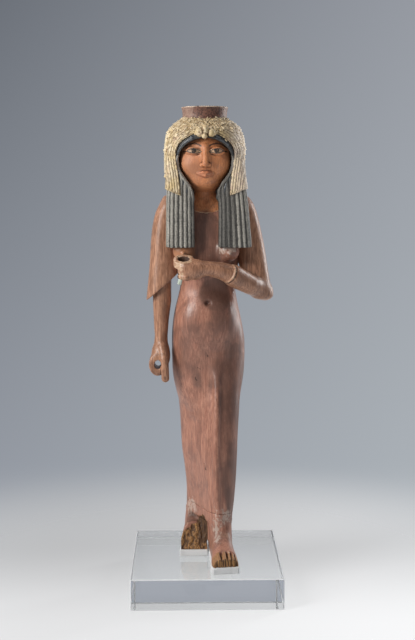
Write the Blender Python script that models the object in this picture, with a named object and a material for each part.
"""Painted wooden statuette of a striding queen on a clear acrylic stand, life size, in metres.

The queen faces -Y and +Z is up. The origin is the centre of the stand's underside.
The wood is carved as fields: a field is negative inside the wood and positive outside it, so limbs
flow together as a carver leaves them, and a cut is one field taken from another. OpenVDB, the
library behind Blender's voxel remesh, turns each field into a mesh, and a Decimate modifier thins it.
The stand's pieces are extruded outlines.
"""

import math

import bmesh
import bpy
import numpy as np
import openvdb
from mathutils import Vector

# The stand
BLOCK_HEIGHT = 0.025
BLOCK_FRONT_MARGIN = 0.0110
BLOCK_BACK_MARGIN = 0.0265
BLOCK_SIDE_MARGIN = 0.0367
BLOCK_CHAMFER = 0.0006
PAD_HEIGHT = 0.0047
PAD_MARGIN = 0.0006
PAD_CHAMFER = 0.0004
PROP_WIDTH = 0.0032
PROP_DEPTH = 0.0080
GLUE_GAP = 0.0003

# The figure
FIGURE_HEIGHT = 0.380
ARM_SEAM = 0.0006
CROWN_DISH_DEPTH = 0.0014
CROWN_RIM = 0.0024

# The grips in the fists, and what is left of the stick that the raised one held
HANGING_GRIP_WIDTH = 0.0060
HANGING_GRIP_HEIGHT = 0.0076
HANGING_FIST_WALL = 0.0046
RAISED_GRIP_LENGTH = 0.0096
RAISED_GRIP_WIDTH = 0.0062
RAISED_FIST_WALL = 0.0026
STUB_DIAMETER = 0.0036
STUB_LENGTH = 0.0130
STUB_CLEARANCE = 0.0004

# A carver's grid, as the old workshops drew it: 380 squares from the soles to the top of the crown
# base. Every place on the figure below is in these squares, so that the pose keeps its proportions.
SQUARES = 380.0
SQUARE = FIGURE_HEIGHT / SQUARES
SOLE_HEIGHT = BLOCK_HEIGHT + PAD_HEIGHT + 2 * GLUE_GAP

# How finely each field is sampled, in squares, and about how many triangles are kept
FIGURE_STEP = 1.4
ARM_STEP = 0.8
FIGURE_TRIANGLES = 5800
ARM_TRIANGLES = 1500


# Rules that every field is built from
def spread(heights, table):
    """The table's columns at these heights: a smooth curve through its rows, level past its ends."""
    rows = np.array(sorted(table), float)
    knots, values = rows[:, 0], rows[:, 1:]
    slopes = np.gradient(values, knots, axis=0)
    at = np.clip(heights, knots[0], knots[-1])
    left = np.clip(np.searchsorted(knots, at) - 1, 0, len(knots) - 2)
    span = (knots[left + 1] - knots[left])[:, None]
    t = (at[:, None] - knots[left][:, None]) / span
    return (
        values[left] * (1 + 2 * t) * (1 - t) ** 2
        + values[left + 1] * t * t * (3 - 2 * t)
        + slopes[left] * span * t * (1 - t) ** 2
        + slopes[left + 1] * span * t * t * (t - 1)
    ).T


def join(a, b, fillet):
    """Both shapes as one, with a fillet of this size where they meet."""
    share = np.clip(0.5 + 0.5 * (b - a) / fillet, 0, 1)
    return b + (a - b) * share - fillet * share * (1 - share)


def common(a, b, fillet):
    """What lies inside both shapes."""
    return -join(-a, -b, fillet)


def cut(a, b, fillet):
    """The first shape with the second taken out of it."""
    return -join(-a, b, fillet)


def egg(p, centre, radii):
    """An ellipsoid."""
    q = (p - centre) / radii
    inner = np.sqrt((q * q).sum(1)) + 1e-9
    return inner * (inner - 1) / (np.sqrt((q * q / np.square(radii)).sum(1)) + 1e-9)


def limb(p, joints, flatten=1.0):
    """A round limb through the joints, each a place and a radius. It is deeper than wide by 1 / flatten."""
    squash = np.array((1, flatten, 1))
    q = p * squash
    nearest = np.full(len(p), np.inf)
    for (*start, r0), (*end, r1) in zip(joints, joints[1:]):
        a, b = np.array(start) * squash, np.array(end) * squash
        along = b - a
        t = np.clip((q - a) @ along / (along @ along), 0, 1)
        away = np.linalg.norm(q - a - t[:, None] * along, axis=1)
        nearest = np.minimum(nearest, away - (r0 + (r1 - r0) * t))
    return nearest


def column(p, table, squareness, low, high, edge=1.5):
    """An upright form. A row of its table is a height, a centre, a half width, and the front and back."""
    centre, half, front, back = spread(p[:, 2], table)
    depth = np.maximum((back - front) / 2, 0.5)
    across = np.abs(p[:, 0] - centre) / half
    along = np.abs(p[:, 1] - (front + back) / 2) / depth
    ring = (across**squareness + along**squareness) ** (1 / squareness)
    side = (ring - 1) * np.minimum(half, depth)
    return common(side, np.maximum(low - p[:, 2], p[:, 2] - high), edge)


def ellipse(x, y, width, height):
    """An elliptical bore of this width and height in metres, on a section through its middle."""
    half_width, half_height = width / 2 / SQUARE, height / 2 / SQUARE
    return (np.hypot(x / half_width, y / half_height) - 1) * min(half_width, half_height)


def bridge(p, heights, circle_a, circle_b):
    """In each level section, the hull of two circles, each an x, a y and a radius at these heights."""
    (xa, ya, ra), (xb, yb, rb) = circle_a, circle_b
    dx, dy = xb - xa, yb - ya
    t = np.clip(((p[:, 0] - xa) * dx + (p[:, 1] - ya) * dy) / (dx * dx + dy * dy), 0, 1)
    away = np.hypot(p[:, 0] - xa - t * dx, p[:, 1] - ya - t * dy)
    return away - (ra + (rb - ra) * t)


# The trunk: height, centre, half width, front, back
TRUNK = (
    (306, 0.0, 10.0, 2.0, 21.0),
    (300, 0.0, 23.0, -1.0, 24.0),
    (294, 0.0, 31.0, -4.0, 26.0),
    (284, 0.0, 33.0, -8.0, 28.0),
    (268, 0.0, 31.0, -10.5, 28.5),
    (252, 0.0, 29.0, -11.5, 27.0),
    (240, 0.5, 26.5, -11.0, 24.5),
    (228, 1.3, 23.4, -10.0, 23.0),
    (218, 1.1, 24.8, -11.0, 25.0),
    (208, 0.8, 27.0, -13.0, 28.5),
    (195, 1.1, 29.6, -14.5, 33.0),
    (180, 1.9, 31.4, -14.5, 36.5),
    (165, 2.2, 31.0, -13.0, 36.0),
    (150, 2.3, 28.8, -11.0, 33.5),
    (134, 2.1, 23.5, -8.0, 28.5),
    (118, 2.2, 11.0, -4.0, 17.0),
)
# The legs under the dress: height, then x, y and radius
BACK_LEG = (
    (166, -10.0, 14.0, 14.0),
    (150, -9.4, 15.6, 16.6),
    (134, -8.6, 17.2, 16.0),
    (118, -7.6, 19.0, 15.2),
    (99, -7.0, 21.0, 14.7),
    (82, -6.5, 22.0, 14.2),
    (64, -5.4, 23.0, 12.8),
    (47, -5.2, 24.0, 11.5),
    (30, -7.0, 24.5, 9.8),
    (16, -8.6, 25.0, 9.0),
)
FRONT_LEG = (
    (166, 13.0, 8.0, 14.0),
    (150, 12.8, 2.8, 16.2),
    (134, 12.5, -1.6, 16.0),
    (118, 12.3, -5.6, 15.2),
    (99, 11.8, -8.8, 14.5),
    (82, 11.6, -10.8, 14.0),
    (64, 11.9, -12.4, 12.7),
    (47, 12.0, -13.5, 11.2),
    (30, 11.6, -14.0, 9.7),
    (16, 12.0, -14.5, 9.0),
)
DRESS_HEM = 26.0
DRESS_TOP = 164.0
SHIN_RADIUS = 3.2
SHIN_SHIFT = -3.6
SHIN_FADE = (28.0, 52.0)
# The feet: distance from the front, then centre, half width and height
FRONT_FOOT = (
    (-52.0, 15.2, 9.6, 6.0),
    (-46.0, 15.0, 10.8, 8.2),
    (-40.0, 14.6, 10.7, 10.8),
    (-32.0, 13.8, 9.8, 15.0),
    (-24.0, 13.0, 9.0, 22.0),
    (-14.0, 12.0, 8.7, 28.0),
    (-5.0, 11.6, 8.0, 22.0),
    (0.0, 11.5, 5.5, 11.0),
)
BACK_FOOT = (
    (-10.0, -10.6, 11.2, 17.0),
    (0.0, -10.4, 11.2, 20.5),
    (8.0, -9.8, 10.5, 24.0),
    (16.0, -9.2, 9.6, 27.0),
    (24.0, -8.6, 9.0, 28.0),
    (32.0, -9.0, 8.0, 22.0),
    (37.0, -9.3, 5.2, 11.0),
)
# The broken web of wood between the feet: an x, a y and a radius at each end, and its underside
FOOT_WEB = ((-4.0, 12.0, 6.0), (8.0, -2.0, 6.5))
FOOT_WEB_UNDERSIDE = 7.5
TOE_SLITS = ((11.2, 12.4), (16.1, 17.2), (19.6, 20.6), (22.6, 23.5))
TOE_BREAK = (-50.5, 0.12)
FOOT_BREAK = (-5.0, 0.36)
SOLE_POINTS = 8
STUB_SIDES = 14

# The block is sized round the feet, and the figure is set so that the block's middle is at the origin
FEET_LEFT = BACK_FOOT[0][1] - BACK_FOOT[0][2]
FEET_RIGHT = FRONT_FOOT[1][1] + FRONT_FOOT[1][2]
BLOCK_WIDTH = 2 * (max(-FEET_LEFT, FEET_RIGHT) * SQUARE + BLOCK_SIDE_MARGIN)
STRIDE = (BACK_FOOT[-1][0] - TOE_BREAK[0]) * SQUARE
BLOCK_DEPTH = STRIDE + BLOCK_FRONT_MARGIN + BLOCK_BACK_MARGIN
FIGURE_SHIFT = BLOCK_DEPTH / 2 - BLOCK_BACK_MARGIN - BACK_FOOT[-1][0] * SQUARE


def foot(p, table):
    """A foot with a flat sole and a rounded top."""
    centre, half, top = spread(p[:, 1], table)
    across = np.abs(p[:, 0] - centre) / half
    up = np.maximum(p[:, 2], 0) / top
    arch = ((across**3 + up**2.6) ** (1 / 2.8) - 1) * np.minimum(half, top)
    first, last = table[0][0], table[-1][0]
    return common(arch, np.maximum(first - p[:, 1], p[:, 1] - last), 2.0)


def toes(p, field):
    """Opens the slits between the toes and breaks their tips off."""
    y, z = p[:, 1], p[:, 2]
    for root, tip in TOE_SLITS:
        t = np.clip((-38 - y) / 14, -0.2, 1.1)
        sideways = np.abs(p[:, 0] - (root + (tip - root) * t))
        slit = np.maximum(sideways - 0.75, 5.2 - 1.5 * t - z)
        field = cut(field, np.maximum(slit, y + 40), 0.8)
    start, slant = TOE_BREAK
    return common(field, start + slant * (p[:, 0] - 5) - y, 0.6)


def legs(p):
    """Both legs, the tight dress drawn between them, and the feet. The back foot has lost its toes."""
    z = p[:, 2]
    back, front = spread(z, BACK_LEG), spread(z, FRONT_LEG)
    fade = np.clip((z - SHIN_FADE[0]) / (SHIN_FADE[1] - SHIN_FADE[0]), 0, 1)
    shin_front = front[2] * (0.66 + 0.32 * fade)
    shin = (front[0] + SHIN_SHIFT * fade, front[1] - shin_front, np.full(len(p), SHIN_RADIUS))
    dress = join(bridge(p, z, back, front), bridge(p, z, front, shin), 2.0)
    dress = common(dress, np.maximum(DRESS_HEM - z, z - DRESS_TOP), 3.0)
    back_ankle = np.hypot(p[:, 0] - back[0], p[:, 1] - back[1]) - back[2]
    front_ankle = np.hypot(p[:, 0] - front[0], p[:, 1] - front[1]) - front[2]
    above_ankles = z - DRESS_HEM - 3
    back_ankle, front_ankle = (np.maximum(ankle, above_ankles) for ankle in (back_ankle, front_ankle))
    web = np.maximum(bridge(p, z, *FOOT_WEB), FOOT_WEB_UNDERSIDE - z)
    web = np.maximum(web, above_ankles)
    back_foot = join(foot(p, BACK_FOOT), np.maximum(back_ankle, 6 - z), 4.0)
    start, slant = FOOT_BREAK
    back_foot = common(back_foot, start + slant * z - p[:, 1], 0.6)
    front_foot = join(toes(p, foot(p, FRONT_FOOT)), np.maximum(front_ankle, 6 - z), 4.0)
    feet = join(np.minimum(back_foot, front_foot), web, 1.5)
    return np.maximum(join(dress, feet, 1.2), -z)


def trunk(p):
    """Chest, waist, belly and hips."""
    field = column(p, TRUNK, 2.15, TRUNK[-1][0], TRUNK[0][0], 3.0)
    for side in (-1, 1):
        field = join(field, egg(p, (19.2 * side, -10.5, 257), (9.0, 8.5, 9.0)), 4.0)
        field = join(field, egg(p, (19.6 * side, -18.6, 255), (1.7, 1.6, 1.7)), 1.2)
    field = join(field, egg(p, (0.8, -7.0, 197), (21.0, 11.0, 22.0)), 8.0)
    return cut(field, egg(p, (1.8, -17.5, 213.5), (2.6, 3.4, 2.2)), 2.0)


# The head's levels, by the old rule of halves and thirds between the crown and the chin
CROWN = 372.0
CHIN = 311.0
EYES = (CROWN + CHIN) / 2
BROWS = EYES + 3.2
NOSE_BASE = (BROWS + CHIN) / 2
MOUTH = NOSE_BASE - (NOSE_BASE - CHIN) / 3
FACE_FRONT = -20.5


def face(p):
    """The face, from plain forms: a broad egg, chin, nose, brow arches, eyes and lips."""
    x = np.abs(p[:, 0])
    q = np.column_stack((x, p[:, 1], p[:, 2]))
    field = egg(p, (0, 4.5, 335), (23.4, 25.0, 27.5))
    field = join(field, egg(p, (0, -8.5, CHIN + 7.5), (10.5, 9.0, 7.5)), 8.0)
    field = join(field, egg(q, (11, -9.5, NOSE_BASE + 2), (9, 8.5, 9)), 5.0)
    socket = egg(q, (9.6, FACE_FRONT - 1.2, EYES - 0.2), (7.2, 4.2, 3.7))
    field = cut(field, socket, 2.5)
    field = join(field, egg(q, (9.4, FACE_FRONT + 7.2, EYES - 0.4), (7.2, 6.6, 4.2)), 0.8)
    bridge_of_nose = ((0, FACE_FRONT + 2.5, BROWS, 2.6), (0, FACE_FRONT - 4.2, NOSE_BASE + 2.6, 2.5))
    field = join(field, limb(p, bridge_of_nose), 2.2)
    field = join(field, egg(q, (2.6, FACE_FRONT - 1.8, NOSE_BASE + 1.7), (2.0, 2.6, 1.8)), 1.2)
    upper = ((0, FACE_FRONT - 1.5, MOUTH + 0.9, 1.35), (6.2, FACE_FRONT + 1.6, MOUTH + 0.3, 0.7))
    lower = ((0, FACE_FRONT - 1.1, MOUTH - 1.7, 1.5), (5.4, FACE_FRONT + 1.6, MOUTH - 0.5, 0.7))
    field = join(field, limb(q, upper), 0.9)
    field = join(field, limb(q, lower), 0.9)
    neck = ((0, 8, 322, 10.5), (0, 8.5, 308, 9.6), (0, 10, 292, 11.5))
    return join(field, limb(p, neck), 4.0)


# The wig: height, centre, half width, front, back
DOME = (
    (372, 0, 15.0, -3.0, 27.0),
    (368.5, 0, 19.8, -8.0, 32.0),
    (364.5, 0, 25.4, -14.0, 36.5),
    (360, 0, 29.4, -18.0, 39.5),
    (355.5, 0, 31.3, -20.5, 41.2),
    (347, 0, 32.8, -22.5, 42.4),
    (334, 0, 33.1, -22.0, 42.6),
    (316, 0, 33.0, -19.5, 41.5),
    (300, 0, 32.4, -17.5, 39.5),
)
RIGHT_LAPPET = (
    (345, -19.0, 11.0, -8.0, 4.0),
    (330, -20.2, 12.0, -15.5, 4.0),
    (316, -20.6, 12.3, -18.3, 3.0),
    (300, -20.8, 12.7, -19.3, -1.0),
    (280, -20.8, 13.0, -20.2, -4.0),
    (261, -20.7, 13.3, -21.5, -6.0),
)
LEFT_LAPPET = (
    (345, 19.0, 11.0, -8.0, 4.0),
    (330, 20.6, 12.0, -15.5, 4.0),
    (316, 22.0, 12.6, -18.3, 3.0),
    (300, 23.4, 13.4, -19.3, -1.0),
    (280, 24.4, 14.4, -20.2, -4.0),
    (261, 25.0, 15.4, -21.5, -6.0),
)
BACK_HAIR = (
    (320, 0, 31.0, 10.0, 40.0),
    (302, 0, 31.0, 14.0, 39.5),
    (284, 0, 29.5, 18.0, 37.8),
    (266, 0, 27.5, 20.0, 36.5),
)
LAPPET_END = 261.0
BACK_HAIR_END = 266.0
# The opening for the face and throat: height and half width
FACE_OPENING = (
    (353, 0.01),
    (351.5, 7.0),
    (349, 13.0),
    (345.5, 17.6),
    (340.5, 21.2),
    (334, 23.0),
    (327, 22.2),
    (320, 18.6),
    (314, 14.0),
    (308, 10.8),
    (300, 9.2),
    (280, 8.6),
    (255, 8.5),
)
# The front edge of the vulture cap, outside a border of hair: height and half width
CAP_OPENING = (
    (357.5, 0.01),
    (356, 8.0),
    (353, 15.0),
    (348.5, 21.0),
    (342, 24.4),
    (334, 24.4),
    (322, 22.6),
    (304, 20.6),
)
CAP_THICKNESS = 1.2
WING_END = 305.0
NAPE_END = 314.0
CROWN_BASE_RADIUS = 19.2
CROWN_BASE_FLARE = 1.3
CROWN_BASE_FOOT = 366.0
HEAD_AXIS = 12.0
HEAD_SHIFT = -1.0


def opening(p, table):
    """An opening in front of the head with this half width at each height."""
    (half,) = spread(p[:, 2], table)
    above = p[:, 2] - table[0][0]
    return np.maximum((np.abs(p[:, 0]) - half) * 0.8, np.maximum(above, p[:, 1] - 4))


def hair(p):
    """The black wig: a dome, two lappets on the chest and a panel down the back."""
    field = column(p, DOME, 2.3, 300, 371, 2.0)
    lappets = np.minimum(
        column(p, RIGHT_LAPPET, 4.0, LAPPET_END, 344, 1.2),
        column(p, LEFT_LAPPET, 4.0, LAPPET_END, 344, 1.2),
    )
    field = join(field, lappets, 3.0)
    field = join(field, column(p, BACK_HAIR, 2.6, BACK_HAIR_END, 322, 2.0), 4.0)
    return cut(field, opening(p, FACE_OPENING), 0.8)


def cap(p, wig):
    """The vulture cap laid over the wig: its wings hang beside the face."""
    behind = np.clip((p[:, 1] - 8) / 12, 0, 1)
    lower_edge = WING_END + (NAPE_END - WING_END) * behind
    field = cut(wig - CAP_THICKNESS, opening(p, CAP_OPENING), 0.5)
    return common(field, lower_edge - p[:, 2], 0.5)


def vulture_head(p):
    """What is left of the vulture's head above the brow."""
    field = egg(p, (-4.6, -22.5, 357.0), (4.0, 3.4, 3.8))
    field = join(field, egg(p, (0.2, -23.0, 359.0), (3.2, 3.4, 4.2)), 1.2)
    field = join(field, egg(p, (5.0, -22.5, 356.6), (3.4, 3.2, 3.4)), 1.2)
    return join(field, egg(p, (-0.6, -24.0, 353.6), (2.2, 2.4, 2.6)), 1.2)


def crown_base(p):
    """The low round crown base, a little wider at its rim and dished on top."""
    z = p[:, 2]
    rim = np.clip((z - CROWN_BASE_FOOT) / (SQUARES - CROWN_BASE_FOOT), 0, 1)
    radius = CROWN_BASE_RADIUS + CROWN_BASE_FLARE * (2 * rim - 1) ** 2
    away = np.hypot(p[:, 0], p[:, 1] - HEAD_AXIS)
    field = common(away - radius, np.maximum(CROWN_BASE_FOOT - z, z - SQUARES), 0.8)
    dish = np.maximum(away - radius + CROWN_RIM / SQUARE, SQUARES - CROWN_DISH_DEPTH / SQUARE - z)
    return cut(field, dish, 0.6)


def figure(p):
    """Everything carved from the one log: the body with its head, wig, cap and crown base."""
    body = join(trunk(p), legs(p), 9.0)
    q = p - (HEAD_SHIFT, 0, 0)
    wig = hair(q)
    head = np.minimum(wig, cap(q, wig))
    head = join(head, vulture_head(q), 0.5)
    head = join(head, crown_base(q), 0.5)
    return join(join(body, face(q), 2.5), head, 0.8)


# The hanging arm, on the viewer's left
RIGHT_SLEEVE = (
    (303, -33.0, 4.0, 8.0, 15.0),
    (298, -32.2, 7.0, 1.5, 21.0),
    (289, -34.2, 9.2, -1.5, 22.5),
    (279, -35.4, 10.4, -2.5, 22.5),
    (263, -36.4, 11.2, -3.5, 21.5),
    (243, -36.4, 12.3, -4.5, 20.0),
    (229, -37.4, 12.5, -5.5, 19.5),
    (212, -38.2, 13.4, -6.5, 20.5),
)
SLEEVE_TIP = (-51.0, 213.5)
SLEEVE_RISE = 0.86
RIGHT_FOREARM = (
    (-38.0, 7.0, 240, 8.2),
    (-37.8, 6.0, 213, 7.9),
    (-38.5, 4.8, 197, 6.5),
    (-38.6, 3.8, 183, 5.5),
    (-38.9, 3.5, 172, 6.2),
)
RIGHT_GRIP = (-41.3, 3.5, 159.3)
FINGER_PITCH = 5.0
RIGHT_THUMB = (
    (-37.2, -2.0, 173, 4.0),
    (-35.9, -7.0, 164, 3.7),
    (-35.1, -8.4, 155, 3.4),
    (-34.8, -8.2, 148, 3.3),
)


def right_fist(p):
    """A fist round an open grip that runs from front to back, with the thumb down its front."""
    gx, gy, gz = RIGHT_GRIP
    x, y, z = p[:, 0] - gx, p[:, 1] - gy, p[:, 2] - gz
    furrow = np.abs(np.cos(np.pi * y / FINGER_PITCH)) ** 6
    hole = ellipse(x, z, HANGING_GRIP_WIDTH, HANGING_GRIP_HEIGHT)
    barrel = hole - HANGING_FIST_WALL / SQUARE + 0.9 * furrow
    field = common(barrel, np.abs(y) - 2 * FINGER_PITCH, 2.2)
    field = join(field, egg(p, (gx + 4.6, gy, gz + 6.5), (5.8, 9.4, 11.0)), 2.5)
    field = join(field, egg(p, (gx + 0.8, gy, gz + 8.0), (6.4, 9.2, 8.5)), 2.0)
    field = join(field, limb(p, RIGHT_THUMB), 1.0)
    return cut(field, hole, 0.8)


def right_arm(p):
    """The arm that hangs, in its wide sleeve with a slanting hem."""
    tip_x, tip_z = SLEEVE_TIP
    sleeve = column(p, RIGHT_SLEEVE, 2.2, 200, 304, 4.0)
    hem = tip_z + SLEEVE_RISE * (p[:, 0] - tip_x) - p[:, 2]
    sleeve = common(sleeve, hem * 0.76, 1.0)
    field = join(sleeve, limb(p, RIGHT_FOREARM, 0.9), 1.2)
    return join(field, right_fist(p), 3.0)


# The raised arm, on the viewer's right
LEFT_SLEEVE = (
    (303, 33.0, 4.0, 8.0, 15.0),
    (297, 33.0, 7.8, 1.5, 21.0),
    (286, 35.2, 9.6, -2.0, 22.5),
    (273, 36.8, 11.0, -3.0, 21.5),
    (259, 38.6, 12.0, -4.0, 20.5),
    (243, 40.8, 12.2, -5.5, 18.5),
    (229, 44.4, 10.8, -7.0, 15.5),
    (216, 48.0, 8.8, -7.5, 11.5),
)
LEFT_SLEEVE_FOREARM = (
    (50.2, 2.0, 219.6, 7.4),
    (36.5, -11.0, 228.6, 8.4),
    (22.5, -19.5, 236.6, 9.4),
)
LEFT_FOREARM = (
    (36.5, -11.0, 228.6, 7.0),
    (23.0, -19.5, 236.6, 8.5),
    (12.5, -23.0, 241.0, 7.2),
    (2.6, -25.0, 243.0, 6.2),
    (-6.0, -26.0, 243.2, 6.6),
)
LEFT_GRIP = (-19.0, -25.5)
LEFT_GRIP_FLOOR = 240.0
LEFT_FINGERS = (236.2, 240.2, 244.2)
FIST_TOP = (248.5, 0.62)
STUB_TOP = (-19.6, -25.5, 242.0)
STUB_LEAN = (-0.27, 0.0, -1.0)


def stub_axis(overshoot=0.0):
    """The two ends of the stub's axis, with this much added at each end."""
    lean = Vector(STUB_LEAN).normalized()
    top = Vector(STUB_TOP)
    return top - lean * overshoot, top + lean * (STUB_LENGTH / SQUARE + overshoot)


def left_fist(p):
    """A fist round an upright grip that is open at the top."""
    gx, gy = LEFT_GRIP
    x, y, z = p[:, 0], p[:, 1], p[:, 2]
    field = egg(p, (-11.0, -27.0, 242.6), (10.0, 6.6, 9.0))
    field = join(field, egg(p, (-16.5, -26.0, 243.5), (7.6, 7.4, 10.5)), 2.0)
    for level in LEFT_FINGERS:
        finger = (
            (-17.0, -31.0, level, 2.2),
            (-20.6, -29.6, level, 2.25),
            (-22.2, -25.0, level, 2.25),
            (-18.5, -19.8, level, 2.2),
        )
        field = join(field, limb(p, finger), 0.7)
    top, slope = FIST_TOP
    hole = ellipse(x - gx, y - gy, RAISED_GRIP_LENGTH, RAISED_GRIP_WIDTH)
    wall = common(hole - RAISED_FIST_WALL / SQUARE, np.abs(z - top - slope * (y - gy)) - 3.4, 1.2)
    field = join(field, wall, 1.0)
    field = common(field, (z - top - 3.0 - slope * (y - gy)) * 0.85, 0.8)
    field = join(field, egg(p, (-25.0, -25.0, 251.0), (2.2, 2.6, 2.4)), 0.8)
    field = cut(field, np.maximum(hole, LEFT_GRIP_FLOOR - z), 0.8)
    start, end = stub_axis(6.0)
    bore = STUB_DIAMETER / 2 + STUB_CLEARANCE
    return cut(field, limb(p, ((*start, bore / SQUARE), (*end, bore / SQUARE))), 0.3)


def left_arm(p):
    """The arm that is raised across the waist, in its sleeve."""
    sleeve = column(p, LEFT_SLEEVE, 2.2, 214, 304, 4.0)
    sleeve = join(sleeve, limb(p, LEFT_SLEEVE_FOREARM, 0.95), 4.0)
    field = join(sleeve, limb(p, LEFT_FOREARM, 0.95), 0.8)
    return join(field, left_fist(p), 2.5)


# From a field to a Blender object
def sampled(field, low, high, step):
    """The field on a grid. Only the blocks that the surface passes through are worked out finely."""
    block = 4
    half_diagonal = block * step * math.sqrt(3) / 2
    counts = np.ceil((np.array(high) - low) / (block * step)).astype(int)
    corners = np.stack(np.meshgrid(*map(np.arange, counts), indexing="ij"), -1).reshape(-1, 3)
    middles = low + (corners * block + (block - 1) / 2) * step
    rough = field(middles)
    grid = np.repeat(rough.reshape(counts), block, 0).repeat(block, 1).repeat(block, 2)
    near = corners[np.abs(rough) < 1.6 * half_diagonal]
    inside = np.stack(np.meshgrid(*[np.arange(block)] * 3, indexing="ij"), -1).reshape(-1, 3)
    index = (near[:, None] * block + inside).reshape(-1, 3)
    values = field(low + index * step)
    grid[index[:, 0], index[:, 1], index[:, 2]] = values
    return grid.astype(np.float32)


def meshed(name, field, low, high, step):
    """A mesh of the field's zero surface, in metres and in the statuette's frame."""
    grid = openvdb.FloatGrid(1.0)
    grid.copyFromArray(sampled(field, np.array(low, float), high, step))
    points, quads = grid.convertToQuads(0.0)
    points = (points * step + low) * SQUARE + (0, FIGURE_SHIFT, SOLE_HEIGHT)
    mesh = bpy.data.meshes.new(name)
    mesh.from_pydata(points, [], quads)
    mesh.shade_smooth()
    return mesh


def material(name, colour, roughness, clear=0.0):
    """A plain material. A clear one lets light through."""
    made = bpy.data.materials.new(name)
    made.use_nodes = True
    shader = made.node_tree.nodes["Principled BSDF"]
    shader.inputs["Base Color"].default_value = (*colour, 1)
    shader.inputs["Roughness"].default_value = roughness
    shader.inputs["Transmission Weight"].default_value = clear
    made.diffuse_color = (*colour, 1)
    return made


def placed(name, mesh, finish_material):
    """A named object in the scene."""
    mesh.materials.append(finish_material)
    obj = bpy.data.objects.new(name, mesh)
    bpy.context.scene.collection.objects.link(obj)
    return obj


def thinned(obj, triangles):
    """Adds a Decimate modifier that keeps about this many triangles."""
    thin = obj.modifiers.new("thin", "DECIMATE")
    thin.ratio = min(1.0, triangles / (2 * len(obj.data.polygons)))
    return obj


def slab(name, outline, low, high, chamfer, finish_material):
    """An outline of (x, y) points, extruded from one height to another, with its edges polished off."""
    shape = bmesh.new()
    ring = [shape.verts.new((x, y, low)) for x, y in outline]
    face_below = shape.faces.new(ring)
    made = bmesh.ops.extrude_face_region(shape, geom=[face_below])
    raised = [item for item in made["geom"] if isinstance(item, bmesh.types.BMVert)]
    bmesh.ops.translate(shape, verts=raised, vec=Vector((0, 0, high - low)))
    bmesh.ops.recalc_face_normals(shape, faces=shape.faces)
    mesh = bpy.data.meshes.new(name)
    shape.to_mesh(mesh)
    shape.free()
    obj = placed(name, mesh, finish_material)
    bevel = obj.modifiers.new("polished_edges", "BEVEL")
    bevel.width = chamfer
    bevel.segments = 1
    bevel.limit_method = "ANGLE"
    bevel.angle_limit = math.radians(50)
    return obj


def sole_outline(table, first, last, slant=0.0):
    """The outline of a sole, widened by the pad's margin. Its front edge slants back across the toes."""
    places = np.linspace(first, last, SOLE_POINTS)
    centre, half, _ = spread(places, table)
    half = half + PAD_MARGIN / SQUARE
    places[0] -= PAD_MARGIN / SQUARE
    places[-1] += PAD_MARGIN / SQUARE
    left = list(zip(centre - half, places))
    right = list(zip(centre + half, places + slant * 2 * half * np.linspace(1, 0, SOLE_POINTS)))
    return [(x * SQUARE, y * SQUARE + FIGURE_SHIFT) for x, y in left + right[::-1]]


def rectangle(width, depth, centre_x=0.0, centre_y=0.0):
    """A rectangle's four corners."""
    corners = ((-1, -1), (1, -1), (1, 1), (-1, 1))
    return [(centre_x + sx * width / 2, centre_y + sy * depth / 2) for sx, sy in corners]


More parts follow.
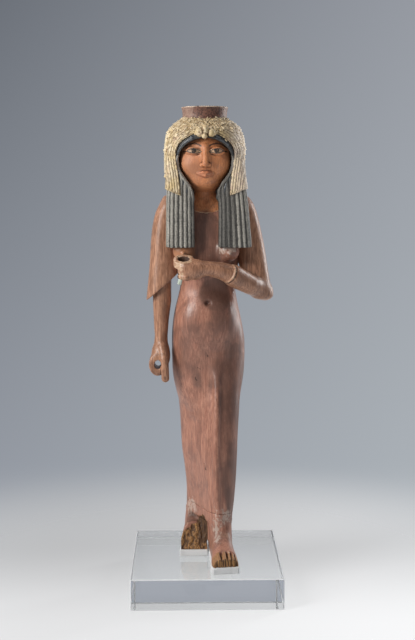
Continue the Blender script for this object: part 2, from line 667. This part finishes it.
def build_stand(clear):
    """The block, the pads under the feet, and the small prop under the broken web between them."""
    slab("acrylic_block", rectangle(BLOCK_WIDTH, BLOCK_DEPTH), 0, BLOCK_HEIGHT, BLOCK_CHAMFER, clear)
    low = BLOCK_HEIGHT + GLUE_GAP
    high = low + PAD_HEIGHT
    front = sole_outline(FRONT_FOOT, TOE_BREAK[0], FRONT_FOOT[-1][0], TOE_BREAK[1])
    slab("front_foot_pad", front, low, high, PAD_CHAMFER, clear)
    back = sole_outline(BACK_FOOT, FOOT_BREAK[0], BACK_FOOT[-1][0])
    slab("back_foot_pad", back, low, high, PAD_CHAMFER, clear)
    pad_side = max(x for x, y in back if y < PROP_DEPTH)
    prop_x = pad_side + GLUE_GAP + PROP_WIDTH / 2
    prop_y = FRONT_FOOT[-1][0] * SQUARE + PAD_MARGIN + GLUE_GAP + PROP_DEPTH / 2 + FIGURE_SHIFT
    prop = rectangle(PROP_WIDTH, PROP_DEPTH, prop_x, prop_y)
    prop_top = SOLE_HEIGHT + FOOT_WEB_UNDERSIDE * SQUARE - GLUE_GAP
    slab("clear_prop", prop, low, prop_top, PAD_CHAMFER, clear)


def seated(arm):
    """The arm's field, cut back to a seam where it meets the log."""
    return lambda p: np.maximum(arm(p), ARM_SEAM / SQUARE - figure(p))


def build_figure(wood):
    """The log-carved figure and its two pegged arms."""
    body = meshed("queen_figure", figure, (-44, -60, -4), (46, 52, 386), FIGURE_STEP)
    thinned(placed("queen_figure", body, wood), FIGURE_TRIANGLES)
    arms = (
        ("right_arm", right_arm, (-56, -16, 140), (-20, 28, 308)),
        ("left_arm", left_arm, (-32, -38, 206), (62, 28, 308)),
    )
    for name, field, low, high in arms:
        arm = meshed(name, seated(field), low, high, ARM_STEP)
        thinned(placed(name, arm, wood), ARM_TRIANGLES)


def build_stub(paint):
    """The stick's stub, broken off inside the fist and below it."""
    start, end = stub_axis()
    shape = bmesh.new()
    bmesh.ops.create_cone(
        shape,
        cap_ends=True,
        segments=STUB_SIDES,
        radius1=STUB_DIAMETER / 2,
        radius2=STUB_DIAMETER / 2,
        depth=STUB_LENGTH,
    )
    mesh = bpy.data.meshes.new("sceptre_stub")
    shape.to_mesh(mesh)
    shape.free()
    obj = placed("sceptre_stub", mesh, paint)
    middle = (start + end) / 2 * SQUARE
    obj.location = middle + Vector((0, FIGURE_SHIFT, SOLE_HEIGHT))
    obj.rotation_mode = "QUATERNION"
    obj.rotation_quaternion = (end - start).to_track_quat("Z", "Y")


def main():
    for obj in list(bpy.data.objects):
        bpy.data.objects.remove(obj)
    wood = material("painted_wood", (0.33, 0.17, 0.10), 0.5)
    clear = material("clear_acrylic", (0.95, 0.97, 0.96), 0.02, clear=1.0)
    paint = material("pale_paint", (0.66, 0.70, 0.60), 0.6)
    build_stand(clear)
    build_figure(wood)
    build_stub(paint)


main()
